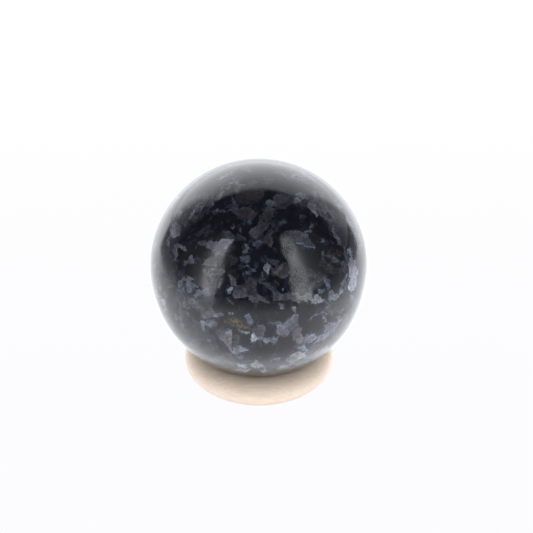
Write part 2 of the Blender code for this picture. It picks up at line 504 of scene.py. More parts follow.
# Laths: right, up, length, width, turn
FRONT_GRAINS = {
    "faint lavender": [(-23.8, 0.5, 3.0, 2.4, 80), (-14.6, 11.2, 1.2, 0.7, 60)],
    "faint mauve": [
        (21.0, -0.9, 2.2, 1.2, 0), (18.1, 0.7, 2.8, 0.8, -8), (-14.2, -21.8, 4.0, 2.0, -15),
        (-7.0, -1.6, 2.2, 1.2, 0), (-23.9, -9.9, 1.0, 0.7, 0),
    ],
    "dim lavender": [
        (-2.1, 5.0, 1.0, 1.0, 80), (2.3, 1.9, 0.9, 0.8, 0), (-13.8, 9.7, 2.2, 0.5, 4),
        (-10.2, 12.3, 0.6, 0.4, 0), (-9.2, 23.0, 2.2, 0.8, -10), (24.4, -9.6, 1.6, 1.0, 80),
        (-25.4, -6.6, 1.2, 0.6, 85), (4.6, 11.7, 1.8, 1.2, -40),
    ],
    "dim mauve": [
        (-17.0, 9.4, 3.2, 0.8, 12), (-7.6, 2.0, 2.6, 1.8, -20), (-14.2, 15.6, 1.4, 0.9, 40),
        (-13.4, -19.5, 1.7, 0.6, 0),
    ],
    "low lavender": [
        (-8.4, 15.6, 1.4, 0.6, 5), (-20.3, 11.7, 1.2, 0.7, 80), (19.3, 2.9, 1.0, 0.9, 0),
        (-17.2, -15.4, 2.2, 0.8, -25), (14.8, -2.0, 1.8, 1.3, -20), (17.2, -3.2, 1.2, 0.9, 30),
        (-13.2, -3.2, 2.2, 0.5, 5), (-12.4, -6.5, 3.2, 0.6, 84), (21.7, 1.6, 1.4, 0.6, -50),
        (-8.0, -9.3, 2.4, 0.45, -32), (11.9, 14.1, 0.8, 0.7, 0), (3.0, 23.8, 2.4, 1.4, 10),
        (-25.7, -3.2, 1.4, 0.5, 80), (-9.5, 24.4, 4.4, 1.4, 22), (-21.0, -5.0, 1.8, 0.8, 88),
    ],
    "low mauve": [(-12.4, 15.0, 1.2, 0.8, -60), (-4.4, 8.1, 1.8, 0.9, 0)],
    "low olive": [(-17.0, 14.1, 2.6, 0.8, 25), (19.2, 0.1, 0.6, 1.0, 0)],
    "mid blue": [
        (-1.45, -0.9, 1.2, 0.9, 10), (6.7, 12.4, 1.9, 1.0, 5), (14.4, 11.3, 1.8, 0.7, 80),
        (-5.3, 10.2, 0.9, 0.6, 60), (-2.6, 12.3, 1.5, 0.8, -50), (4.6, -15.35, 4.6, 0.5, -5),
        (17.7, 2.9, 2.9, 0.7, -82),
    ],
    "mid lavender": [
        (-2.8, -1.6, 1.7, 1.2, 10), (-15.7, 6.6, 3.2, 1.0, 8), (-11.3, 15.5, 0.5, 0.5, 0),
        (-10.4, 15.6, 0.6, 0.5, 0), (-9.6, 15.5, 0.5, 0.4, 0), (-4.0, 0.4, 1.8, 0.45, 12),
        (1.2, -2.6, 1.9, 0.5, -75), (17.5, 7.7, 0.9, 0.9, 0), (20.8, 1.9, 2.0, 1.5, -20),
        (24.0, 3.8, 3.4, 0.6, -80), (19.7, -10.8, 1.7, 1.4, 0), (22.4, -12.0, 1.2, 0.8, 30),
        (-21.3, -14.2, 6.0, 0.7, -84), (-19.8, -12.9, 1.7, 0.6, -50), (-6.6, 15.2, 1.0, 0.8, 0),
        (-4.4, -1.6, 1.8, 0.4, -75), (-7.0, 11.1, 1.4, 0.7, 65), (4.0, -20.7, 1.6, 0.9, 0),
        (18.2, 13.7, 5.0, 0.7, -38), (3.8, -25.3, 1.9, 0.4, 35), (22.0, -13.9, 1.4, 0.7, 20),
        (12.3, 24.0, 4.0, 1.0, -28),
    ],
    "mid pink": [(-18.0, -6.1, 1.2, 0.8, 20), (22.8, 1.0, 0.9, 0.6, 0), (-22.0, -9.6, 3.0, 0.5, -62)],
    "bright lavender": [
        (-3.5, 5.2, 2.6, 1.2, 85), (-10.65, -4.5, 2.6, 0.6, 75), (15.1, -13.4, 3.2, 0.5, 38),
        (18.0, -12.6, 1.8, 0.5, -8), (18.1, -14.0, 2.4, 0.6, -78), (-17.4, -5.0, 1.9, 0.6, -25),
        (-23.3, 18.4, 3.5, 0.7, 48), (-21.9, 14.6, 2.6, 1.4, 60), (-24.9, 7.0, 2.6, 0.7, 80),
        (21.8, 17.6, 2.8, 0.8, -48), (24.8, 12.6, 3.2, 0.9, -62), (26.6, 8.0, 3.0, 0.8, -76),
        (-22.9, 2.4, 1.4, 0.6, -85),
    ],
    "bright blue": [(12.9, 6.1, 5.2, 0.8, -18)],
    "bright cyan": [(17.2, -6.6, 1.5, 1.3, 0)],
    "bright pink": [(23.5, -3.5, 4.0, 0.45, 68)],
    "white pale": [
        (-4.0, -17.75, 3.3, 0.4, -10), (-4.7, -27.1, 2.6, 1.0, 0), (25.7, -8.6, 0.9, 1.2, 0),
        (23.0, -11.2, 1.2, 0.8, 0), (-26.0, -10.4, 3.6, 0.9, -76), (16.1, -20.6, 3.2, 0.6, 40),
    ],
    "snow pale": [(2.1, -20.7, 1.0, 0.5, 75), (6.6, -6.3, 0.6, 0.5, 0), (-7.6, -12.9, 1.5, 0.5, 0)],
    "mid olive": [(-24.4, -5.4, 1.4, 0.9, 0)],
    "bright pale": [(13.7, 9.85, 1.9, 0.6, 3)],
}

# Plates: corners as right and up
FRONT_PLATES = {
    "dim mauve": [
        [(-6.8, 22.4), (-3.0, 22.2), (1.0, 21.6), (1.5, 20.2), (0.4, 18.8), (-1.0, 18.0), (-4.0, 17.2),
         (-6.0, 18.0)],
        [(-20.7, -17.2), (-17.0, -16.8), (-16.2, -18.8), (-17.6, -19.8), (-19.6, -19.6), (-20.9, -18.4)],
    ],
    "low blue": [
        [(13.1, 9.2), (13.9, 7.9), (15.5, 5.4), (12.6, 6.2), (10.2, 7.0), (10.2, 8.0), (12.6, 8.2)],
    ],
    "low mauve": [
        [(-5.1, 16.2), (-3.6, 16.6), (-2.2, 16.0), (-1.2, 15.2), (-0.6, 14.2), (-1.4, 13.4), (-2.8, 13.0),
         (-5.2, 14.0)],
        [(3.9, 10.4), (4.2, 9.6), (3.3, 8.6), (3.6, 7.2), (3.5, 5.6), (2.9, 5.4), (2.4, 6.3), (1.0, 6.7),
         (1.4, 7.7), (2.4, 8.8)],
        [(-9.7, 9.9), (-8.2, 10.0), (-7.2, 9.2), (-6.6, 7.8), (-8.4, 7.9), (-9.7, 8.9)],
        [(-4.3, -4.8), (-3.3, -3.6), (-2.8, -3.0), (-0.7, -3.4), (-0.5, -4.6), (-1.0, -5.6), (-0.7, -7.0),
         (-0.9, -8.2), (-3.0, -8.2), (-4.0, -6.0)],
        [(3.2, -0.3), (4.6, -0.3), (5.6, 0.6), (6.8, 1.1), (7.9, 0.6), (8.0, -2.0), (7.4, -3.4),
         (5.4, -3.0), (4.2, -1.8)],
        [(-17.7, -19.8), (-16.2, -20.9), (-16.6, -23.2), (-17.4, -22.6), (-19.2, -20.6)],
    ],
    "low lavender": [
        [(-7.2, 19.4), (-6.2, 18.4), (-5.8, 16.6), (-4.7, 14.2), (-5.6, 13.6), (-6.6, 14.9), (-7.6, 15.6),
         (-7.2, 17.4)],
        [(1.1, -4.2), (2.3, -3.8), (2.9, -4.6), (4.0, -5.2), (4.6, -6.4), (5.8, -7.4), (3.9, -7.8),
         (3.0, -5.9), (2.2, -5.4), (1.3, -4.9)],
        [(-14.9, 17.8), (-13.6, 18.9), (-12.9, 20.4), (-12.6, 20.9), (-12.3, 20.2), (-12.9, 18.6),
         (-13.8, 16.9), (-14.2, 16.6), (-14.9, 17.2)],
        [(20.2, -9.8), (23.4, -9.2), (24.2, -10.6), (22.6, -11.8), (20.8, -12.6), (19.4, -11.4)],
        [(4.0, 18.4), (4.2, 17.0), (6.2, 16.0), (7.2, 15.9), (8.0, 16.7), (9.2, 17.5), (9.6, 18.8),
         (8.4, 19.6), (6.0, 20.2), (4.3, 19.8)],
    ],
    "low pink": [
        [(6.0, 8.2), (6.4, 9.6), (7.6, 10.2), (9.2, 10.1), (8.8, 8.8), (7.4, 7.9), (6.4, 7.5)],
        [(-12.2, -25.2), (-10.5, -24.4), (-8.4, -23.8), (-7.3, -24.2), (-7.1, -27.6), (-9.5, -27.2),
         (-12.0, -26.4)],
    ],
    "low olive": [
        [(20.9, 15.0), (22.2, 15.3), (23.3, 13.6), (22.8, 12.4), (21.6, 12.4), (20.8, 13.4)],
    ],
    "mid lavender": [
        [(-2.6, 9.3), (-2.6, 9.9), (-2.2, 10.6), (-1.0, 11.3), (0.2, 12.4), (1.6, 12.2), (3.3, 12.0),
         (2.4, 10.9), (1.2, 9.4), (0.2, 8.6), (-0.6, 7.7), (-1.3, 8.0), (-1.8, 8.8)],
        [(9.0, 10.1), (11.0, 10.0), (12.6, 9.7), (13.5, 8.8), (12.8, 7.6), (10.6, 7.4), (9.3, 8.2)],
        [(20.2, 10.2), (21.4, 9.8), (21.8, 8.6), (22.6, 7.4), (22.9, 6.0), (22.0, 6.2), (21.3, 7.6),
         (20.6, 9.0)],
        [(14.8, -21.9), (16.4, -20.9), (18.6, -20.6), (19.0, -21.6), (17.4, -23.0), (15.2, -23.3)],
        [(14.2, -4.2), (15.0, -4.0), (15.4, -4.8), (14.7, -7.3), (13.9, -7.2), (13.9, -5.4)],
        [(0.0, -3.0), (1.0, -3.3), (0.9, -4.6), (0.5, -4.8), (0.1, -4.0)],
        [(-10.6, -17.2), (-9.8, -16.3), (-9.0, -17.3), (-9.3, -19.5), (-10.6, -20.2), (-11.2, -19.2)],
        [(-19.2, -7.8), (-17.8, -9.6), (-16.6, -9.0), (-15.4, -10.4), (-16.4, -11.6), (-18.4, -10.8),
         (-19.6, -9.4)],
        [(-6.4, -5.0), (-5.2, -4.8), (-4.1, -4.8), (-3.7, -6.0), (-2.9, -8.1), (-3.5, -8.4), (-6.3, -8.8),
         (-7.0, -8.4), (-7.0, -7.0)],
        [(3.7, -7.0), (6.0, -7.2), (8.7, -6.9), (8.7, -8.9), (7.2, -8.6), (6.4, -9.0), (4.2, -9.2),
         (3.9, -8.6)],
        [(3.3, 1.8), (3.8, 2.1), (5.2, 1.9), (5.6, 1.5), (5.0, 0.1), (4.3, 0.7), (3.5, 0.5), (3.3, -0.5),
         (2.8, -0.2)],
    ],
    "mid mauve": [
        [(-16.8, -9.4), (-15.8, -8.7), (-14.0, -8.9), (-12.6, -7.8), (-12.0, -8.4), (-12.2, -9.8),
         (-12.8, -10.4), (-12.5, -12.0), (-11.0, -12.6), (-12.4, -13.6), (-13.4, -14.1), (-15.2, -14.3),
         (-16.0, -13.5), (-16.1, -11.2)],
        [(-1.5, -17.2), (-0.6, -16.1), (0.8, -15.8), (1.9, -16.3), (1.6, -17.6), (1.5, -18.8), (0.3, -19.4),
         (-0.9, -18.6)],
        [(16.0, 16.4), (17.2, 17.4), (18.4, 17.6), (19.0, 16.6), (18.9, 15.4), (18.2, 14.8), (17.2, 15.2),
         (16.4, 14.9)],
    ],
    "mid pale": [
        [(14.5, -21.5), (17.5, -20.8), (20.5, -18.2), (22.8, -15.6), (24.4, -12.6), (24.9, -14.6),
         (22.4, -18.6), (19.0, -21.9), (15.5, -24.2), (13.2, -24.4)],
        [(10.8, -20.6), (12.4, -19.2), (13.8, -18.6), (13.0, -21.2), (11.8, -22.4), (10.2, -22.2)],
        [(-15.4, 2.4), (-13.2, 2.0), (-11.2, 3.2), (-10.4, 1.6), (-11.6, 0.4), (-14.0, 0.6)],
        [(-15.5, -0.5), (-14.6, -0.6), (-14.2, -1.8), (-14.9, -2.1), (-15.6, -1.2)],
    ],
    "bright blue": [
        [(1.6, 17.6), (2.0, 18.4), (3.0, 18.7), (4.1, 18.1), (4.2, 17.0), (3.4, 16.7), (2.2, 17.1)],
        [(10.1, 20.6), (12.2, 20.3), (13.0, 19.6), (12.0, 18.8), (10.6, 19.3)],
        [(18.0, -2.6), (18.7, -2.9), (19.5, -3.6), (19.6, -5.4), (19.4, -6.5), (18.8, -6.2), (18.5, -4.6),
         (18.0, -4.0)],
        [(-4.0, -13.2), (-2.6, -13.0), (-1.9, -13.8), (-1.6, -15.0), (-2.4, -16.0), (-3.2, -15.4),
         (-3.3, -14.4)],
    ],
    "bright lavender": [
        [(-20.6, 1.6), (-19.3, 1.8), (-18.9, 3.0), (-18.4, 3.2), (-17.6, 1.5), (-18.3, 1.1), (-19.6, 0.8),
         (-20.5, 0.5)],
        [(-22.3, -4.0), (-21.4, -3.2), (-20.7, -2.5), (-20.2, -2.4), (-20.4, -3.4), (-21.2, -3.9),
         (-21.5, -5.0), (-21.5, -6.8), (-22.2, -6.9)],
        [(-17.8, -7.4), (-17.0, -6.4), (-16.4, -6.2), (-15.4, -6.6), (-14.8, -5.7), (-13.8, -5.8),
         (-13.9, -6.6), (-13.0, -7.8), (-14.2, -8.0), (-15.2, -7.5), (-16.4, -7.9), (-17.2, -7.9)],
        [(-24.2, 10.4), (-23.6, 11.6), (-22.9, 12.4), (-21.9, 12.0), (-21.7, 10.6), (-21.8, 9.2),
         (-22.9, 8.4), (-24.1, 8.7)],
        [(5.3, -16.2), (7.0, -15.5), (7.8, -17.0), (9.0, -17.7), (8.3, -18.8), (7.9, -19.3), (6.4, -19.0),
         (5.6, -18.8), (5.0, -19.6), (5.2, -18.0)],
        [(8.0, -14.4), (9.4, -13.4), (10.9, -13.1), (11.1, -14.0), (10.9, -15.6), (11.3, -17.1),
         (9.8, -17.4), (8.8, -17.7), (7.5, -17.0), (6.9, -15.5)],
        [(5.3, -9.8), (7.0, -9.9), (7.0, -11.2), (6.3, -11.6), (5.6, -11.1)],
        [(-20.0, -2.9), (-19.2, -2.6), (-17.8, -3.1), (-17.7, -3.5), (-18.5, -3.6), (-18.3, -4.6),
         (-18.4, -6.6), (-19.0, -6.9), (-19.7, -6.6), (-20.1, -5.6), (-19.7, -4.4)],
        [(-0.2, -19.1), (1.7, -19.1), (1.9, -20.0), (1.1, -20.4), (0.0, -20.2)],
        [(3.2, -19.5), (5.1, -19.1), (4.8, -20.2), (3.7, -21.2), (3.1, -20.8)],
        [(-15.4, -15.1), (-14.2, -14.8), (-12.4, -14.8), (-11.3, -15.2), (-11.4, -16.4), (-13.2, -16.6),
         (-13.4, -16.1), (-15.2, -16.0)],
    ],
    "bright pink": [
        [(4.6, -1.9), (4.4, -1.2), (5.5, -0.7), (6.3, 0.4), (6.9, 0.6), (6.3, -0.7), (5.4, -1.3)],
        [(9.2, -17.8), (10.8, -17.0), (11.9, -17.0), (11.9, -18.8), (12.5, -19.8), (12.0, -20.6),
         (10.6, -21.1), (9.9, -20.6), (9.4, -19.4)],
    ],
    "bright pale": [
        [(1.3, 14.9), (2.0, 15.8), (2.8, 15.1), (3.4, 14.0), (3.0, 13.3), (2.0, 14.2)],
        [(-16.2, 0.6), (-15.0, 1.4), (-14.5, 2.2), (-12.6, 2.6), (-11.8, 2.9), (-12.0, 2.2), (-13.0, 1.6),
         (-13.2, 1.0), (-14.8, 0.6)],
        [(-17.8, -8.0), (-16.9, -8.0), (-17.4, -8.8), (-17.0, -9.6), (-17.9, -10.2), (-18.9, -9.8),
         (-19.4, -9.2), (-18.6, -8.6)],
        [(-23.4, 6.2), (-21.2, 6.2), (-20.2, 5.3), (-19.8, 4.7), (-20.6, 4.7), (-21.5, 5.4), (-22.5, 5.2),
         (-22.3, 3.4), (-22.5, 2.9), (-23.3, 3.0), (-23.6, 4.5)],
        [(-8.4, -2.0), (-7.4, -2.4), (-6.4, -2.9), (-6.4, -3.9), (-5.9, -4.9), (-6.6, -5.4), (-7.6, -4.8),
         (-7.7, -3.6)],
        [(13.4, -25.2), (16.6, -22.6), (19.4, -21.4), (17.8, -23.4), (15.0, -25.4)],
        [(-13.9, -2.8), (-14.3, -1.8), (-13.3, -0.3), (-12.0, 0.1), (-10.8, -0.6), (-9.6, -0.8),
         (-9.0, -1.8), (-9.9, -2.4), (-11.0, -2.3), (-12.2, -2.4)],
    ],
    "white lavender": [
        [(-11.4, 6.9), (-10.0, 7.9), (-8.6, 7.5), (-6.2, 7.5), (-7.8, 6.2), (-8.6, 5.2), (-9.8, 3.5),
         (-11.0, 3.0)],
        [(13.3, 17.2), (14.2, 18.5), (15.2, 18.4), (15.9, 17.4), (15.8, 16.0), (15.6, 15.2), (16.5, 14.2),
         (16.0, 13.9), (14.9, 14.8), (14.2, 16.0)],
        [(23.3, -6.2), (22.8, -6.0), (21.8, -7.5), (20.8, -7.2), (20.2, -6.3), (19.5, -7.0), (19.5, -8.4),
         (20.3, -9.3), (21.3, -9.0), (22.0, -8.3), (22.9, -7.2)],
        [(12.8, -19.5), (14.3, -18.5), (15.8, -18.5), (16.2, -19.6), (15.0, -20.4), (13.6, -21.0),
         (12.5, -20.6)],
        [(16.2, -19.2), (17.4, -18.7), (18.1, -17.2), (18.5, -16.0), (19.6, -15.1), (21.3, -15.2),
         (22.6, -13.9), (23.0, -14.6), (21.5, -16.4), (20.8, -18.0), (19.3, -18.8), (18.2, -20.1),
         (16.8, -20.3)],
        [(10.3, -22.3), (12.0, -21.5), (12.8, -21.6), (13.6, -23.0), (11.5, -23.0)],
        [(-7.4, -22.9), (-6.5, -22.2), (-5.0, -21.8), (-3.8, -22.1), (-2.9, -22.8), (-4.4, -23.4),
         (-6.2, -24.1), (-7.4, -23.8)],
        [(-14.3, 6.9), (-13.2, 7.4), (-12.0, 7.2), (-11.2, 7.0), (-10.4, 4.6), (-11.2, 3.1), (-12.0, 3.3),
         (-12.9, 4.6), (-14.2, 5.4)],
        [(1.6, -19.3), (3.2, -19.4), (3.1, -20.4), (2.3, -21.1), (1.8, -21.0), (1.5, -20.2)],
    ],
    "white pink": [
        [(-9.2, -17.9), (-8.3, -17.3), (-7.4, -17.5), (-7.1, -19.0), (-7.3, -20.4), (-7.5, -21.8),
         (-7.6, -23.8), (-8.4, -22.4), (-9.2, -21.6), (-9.7, -20.3)],
    ],
    "white pale": [
        [(8.6, -7.3), (11.0, -7.1), (11.6, -8.1), (12.8, -7.9), (13.4, -7.0), (14.4, -7.3), (14.5, -8.3),
         (16.0, -7.4), (16.6, -7.6), (17.4, -8.8), (18.5, -9.4), (16.2, -9.9), (14.6, -9.8), (14.2, -9.0),
         (13.0, -9.7), (11.4, -9.0), (11.2, -9.7), (8.8, -9.3)],
        [(-16.3, -14.7), (-15.2, -14.4), (-15.0, -15.6), (-14.8, -16.8), (-14.6, -17.8), (-15.4, -17.3),
         (-16.0, -16.1)],
        [(-12.6, -12.8), (-11.4, -12.5), (-9.7, -12.8), (-9.7, -13.5), (-12.4, -13.5)],
        [(9.5, 18.2), (10.4, 19.1), (11.7, 18.6), (11.2, 18.0), (10.0, 17.5)],
        [(7.7, -25.6), (9.2, -23.8), (10.6, -23.4), (13.3, -23.7), (12.6, -24.6), (11.0, -25.4),
         (9.6, -26.5), (8.4, -26.3)],
        [(-2.0, -26.7), (-0.8, -25.5), (0.1, -26.2), (1.2, -27.1), (2.2, -27.7), (-1.8, -27.6)],
        [(-6.8, -28.1), (-4.4, -27.8), (-2.4, -28.2), (-3.2, -29.1), (-5.6, -28.8)],
        [(0.2, -28.2), (1.8, -27.9), (2.6, -28.8), (0.9, -29.2)],
        [(5.2, -27.5), (7.2, -27.0), (8.8, -27.3), (6.6, -28.3)],
        [(8.9, -11.0), (9.9, -10.5), (10.4, -10.9), (10.2, -12.5), (9.6, -11.9)],
    ],
    "snow pale": [
        [(1.1, -0.2), (2.3, 0.8), (3.0, 0.3), (2.9, -0.5), (2.6, -1.0), (2.8, -2.2), (2.4, -2.2),
         (1.9, -1.2), (1.5, -1.0)],
        [(-8.5, -6.1), (-7.9, -5.6), (-6.9, -5.6), (-7.2, -6.5), (-7.8, -7.2), (-8.2, -7.0)],
        [(-0.2, -8.7), (0.6, -8.2), (1.1, -8.8), (0.3, -9.2)],
    ],
    "cream pale": [
        [(-2.2, -19.2), (-1.6, -17.9), (-0.8, -18.6), (-0.1, -19.5), (-0.7, -20.1), (-1.6, -20.4),
         (-2.1, -20.5)],
    ],
    "mid blue": [
        [(-5.2, 3.0), (-2.9, 3.2), (-2.2, 2.6), (-2.4, 1.6), (-3.2, 1.1), (-4.4, 1.4), (-5.1, 2.2)],
        [(-1.7, 6.8), (-1.0, 7.5), (0.2, 7.4), (1.1, 6.6), (0.2, 5.8), (-0.8, 5.5), (-1.6, 6.0)],
    ],
    "mid pink": [
        [(-3.1, -8.0), (-0.9, -8.0), (-0.6, -7.0), (0.3, -7.9), (1.4, -8.4), (2.8, -9.6), (1.8, -9.8),
         (-0.2, -9.2), (-1.8, -9.6), (-2.8, -9.1)],
    ],
    "low pale": [
        [(0.2, 12.0), (0.4, 13.8), (0.2, 14.6), (1.3, 14.4), (1.5, 15.6), (2.4, 16.4), (3.6, 16.8),
         (4.5, 16.0), (3.6, 14.4), (3.5, 12.0)],
    ],
    "dim blue": [
        [(-26.4, 4.2), (-25.2, 5.4), (-24.3, 3.0), (-23.4, -0.5), (-23.0, -3.2), (-24.2, -4.4),
         (-25.8, -2.8), (-26.9, 0.5)],
    ],
    "snow lavender": [
        [(24.4, 5.0), (24.9, 5.1), (25.5, 4.2), (25.8, 3.0), (26.6, 1.4), (27.0, 0.4), (27.2, -2.2),
         (27.0, -5.0), (26.3, -6.2), (24.7, -6.2), (24.9, -3.0), (24.7, 1.0), (25.3, 3.2)],
    ],
    "bright mauve": [
        [(-11.6, 23.4), (-10.4, 24.7), (-8.3, 26.2), (-6.1, 26.9), (-7.2, 25.7), (-8.8, 25.0)],
        [(-7.7, 24.4), (-6.1, 24.1), (-4.7, 23.1), (-2.9, 22.6), (-4.9, 22.2), (-6.2, 22.9)],
        [(-6.5, 22.0), (-4.8, 22.7), (-5.2, 21.0), (-6.4, 20.8)],
    ],
    "dim lavender": [
        [(-13.8, 23.0), (-11.8, 23.4), (-12.6, 20.2), (-13.6, 18.0), (-14.4, 16.9), (-14.0, 18.8)],
    ],
}

# Dark spots inside grains: right, up, length, width, turn
FRONT_HOLES = [
    (4.3, 0.3, 0.8, 0.6, 0), (5.0, -2.6, 0.8, 0.6, 0), (8.2, 8.7, 0.9, 0.7, 0),
    (9.0, 7.3, 1.1, 0.8, 0), (1.8, 12.9, 1.0, 0.7, 60), (8.6, -14.7, 0.8, 0.5, 30),
    (9.4, -16.0, 0.8, 0.6, 0), (9.2, -18.3, 1.2, 0.6, 20), (-13.4, -1.9, 0.9, 0.6, 0),
    (-12.4, -1.2, 0.6, 0.5, 0), (15.1, -8.2, 1.2, 0.5, 70), (13.6, -9.0, 0.7, 0.5, 0),
    (18.4, -17.8, 0.6, 1.0, 0), (-16.6, 17.0, 0.8, 0.6, 0), (-17.6, 17.4, 0.7, 0.6, 0),
    (21.9, 13.4, 0.7, 0.5, 0),
]

# Rusty patches: right, up, length, width, turn, strength
FRONT_RUST = [
    (-6.8, -15.1, 5.8, 3.0, -10, 1.05), (-4.2, -16.4, 4.8, 1.2, -8, 1.35), (-17.3, 17.2, 5.0, 3.5, 30, 0.6),
    (22.3, 13.5, 4.0, 3.5, -40, 0.6), (-13.2, -22.2, 6.0, 3.0, -10, 0.6), (-13.35, -1.2, 0.8, 0.8, 0, 1.7),
    (22.7, 3.6, 3.4, 2.4, 0, 0.8), (19.2, -0.4, 3.6, 2.2, 0, 0.75), (-15.0, 3.6, 4.2, 2.4, 0, 0.35),
    (5.1, -4.5, 3.6, 0.35, -56, 1.0), (6.8, -5.6, 1.5, 0.35, 60, 0.9), (3.8, -2.2, 2.4, 1.0, -30, 0.6),
    (-5.2, -11.0, 3.4, 2.4, 0, 0.5), (2.6, -12.4, 3.0, 1.4, 40, 0.35), (-19.0, 12.2, 4.0, 2.0, 40, 0.4),
    (13.0, -15.2, 2.4, 1.2, 0, 0.4), (-24.4, -5.4, 1.6, 1.0, 0, 0.6), (-6.6, 1.6, 2.6, 1.4, 60, 0.3),
]
# Patches of sandy polish, mostly where the two lights are mirrored, with pale specks painted in as glints:
# right, up, length, width, turn, strength
FRONT_SAND_AND_GLINT = [
    (-12.3, -1.2, 9.0, 5.0, 80, 1.0), (-12.0, 3.6, 4.0, 4.0, 0, 0.7), (10.9, -3.6, 9.0, 5.0, -78, 1.0),
    (8.2, 5.2, 5.0, 3.6, 80, 0.8), (16.6, -4.0, 5.0, 3.0, 40, 0.7), (20.6, 3.4, 5.0, 4.0, 0, 0.6),
    (-15.5, -8.5, 5.0, 3.0, 0, 0.4), (-6.0, -15.5, 9.0, 4.0, -12, 0.7), (11.5, 17.6, 6.0, 3.0, -10, 0.5),
]
# Patches thick with haze: right, up, length, width, turn, strength
FRONT_HAZE = [
    (20.0, -11.8, 9.0, 5.0, 15, 0.8), (15.0, -21.5, 14.0, 6.0, 40, 1.0), (2.0, -24.5, 15.0, 7.0, 0, 0.7),
    (-15.5, -19.5, 12.0, 9.0, -40, 0.9), (-18.0, -7.0, 9.0, 8.0, -40, 0.8),
    (-24.5, 0.5, 11.0, 4.0, 85, 0.8), (-25.5, 10.0, 14.0, 5.0, 65, 0.8), (-9.5, -25.5, 9.0, 5.0, -10, 0.9),
    (25.5, -8.0, 12.0, 4.0, 75, 0.8), (17.0, -2.0, 10.0, 7.0, 0, 0.45), (22.5, 11.5, 10.0, 5.0, -60, 0.6),
    (-13.0, -12.0, 8.0, 8.0, 0, 0.6), (-12.5, 0.5, 8.0, 6.0, 60, 0.6), (8.0, -17.0, 8.0, 7.0, 0, 0.5),
    (-17.0, 14.0, 9.0, 5.0, 45, 0.4),
]
front_count = sum(len(rows) for kinds in (FRONT_GRAINS, FRONT_PLATES) for rows in kinds.values())
print(f"{front_count} grains laid out on the front")

# %% [markdown]
# A grain laid out as the camera sees it is carried along the line of sight onto the ball, so it is found
# by where each vertex shows in the picture. Grains on the far side, which no photograph shows, are drawn at
# random from a fixed seed, in small groups, with the same lengths, widths and tones. So are the small dull
# grains round the ball's edge, which would be a chore to lay by hand.

# %% The field of grains
SEED = 27
# Cell of the noise on a ball of radius 1, and shift in mm
WARPS = ((0.050, 0.30), (0.021, 0.16))
FRONT_DEPTH = 7.0
BACK_DEPTH = 3.0
GRAIN_REACH = 3.0
FAR_FROM_GRAINS = 4.0
GRAIN_SLOPE = 0.40
GRAIN_STEP = 0.14
JOINT_SHIFT = 0.3
TONE_SPREAD = 0.1
PLATE_TURN = 20
HOLE_EDGE = 0.1
PATCH_PEAK = 1.3


def make_field(points):
    """Arrays for the stone's pattern at points in mm: distance to the nearest grain, its colour, the
    coordinate across its length, and the strength of rust, of sandy polish with painted glints, and of
    haze."""
    field = {name: np.zeros(len(points)) for name in ("edge", "lie", "rust", "sand_and_glint", "haze")}
    field["edge"] += FAR_FROM_GRAINS
    field["colour"] = np.zeros((len(points), 3))
    return field


def stamp(field, across, up, depth, corners, depth_limit, colour, turn, random):
    """Adds one grain over those before it: its distance is the larger of the distance to its outline and
    the distance past its depth, and its colour holds inside it and where no other grain is nearer. Its
    brightness rises from one side to the other and steps at one straight joint, as in twinned feldspar."""
    middle = corners.mean(axis=0)
    size = np.hypot(*(corners - middle).T).max()
    close = np.abs(across - middle[0]) < size + GRAIN_REACH
    close &= np.abs(up - middle[1]) < size + GRAIN_REACH
    close &= np.abs(depth) < depth_limit + GRAIN_REACH
    near = np.flatnonzero(close)
    distance = outline_distance(across[near], up[near], corners)
    distance = np.maximum(distance, np.abs(depth[near]) - depth_limit)
    wins = (distance < field["edge"][near]) | (distance < 0)
    chosen = near[wins]
    field["edge"][near] = np.minimum(field["edge"][near], distance)
    rise, joint = random.uniform(0, math.tau, 2)
    right, above = across[chosen] - middle[0], up[chosen] - middle[1]
    slope = (right * math.cos(rise) + above * math.sin(rise)) / size
    side = right * math.cos(joint) + above * math.sin(joint)
    side -= random.uniform(-JOINT_SHIFT, JOINT_SHIFT) * size
    shade = 1 + GRAIN_SLOPE * np.clip(slope, -1, 1) + GRAIN_STEP * np.sign(side)
    field["colour"][chosen] = colour * shade[:, None]
    angle = math.radians(turn)
    field["lie"][chosen] = up[chosen] * math.cos(angle) - across[chosen] * math.sin(angle)


def grain_colour(kind, random):
    """The colour of a kind such as mid blue: its tone times its tint, a little lighter or darker."""
    tone, tint = kind.split()
    return np.array(TINTS[tint]) * TONES[tone] * random.uniform(1 - TONE_SPREAD, 1 + TONE_SPREAD)


def surface_depth(across, up, limit):
    """How far the front of a ball of radius limit stands towards the camera at a place in the picture."""
    return math.sqrt(max(limit**2 - across**2 - up**2, 1.0))


def soft_patch(right, above):
    """Strength of an oval patch at points measured in half its length and half its width: 1 inside, fading
    out at its edge."""
    return np.clip(PATCH_PEAK - np.hypot(right, above), 0, 1)


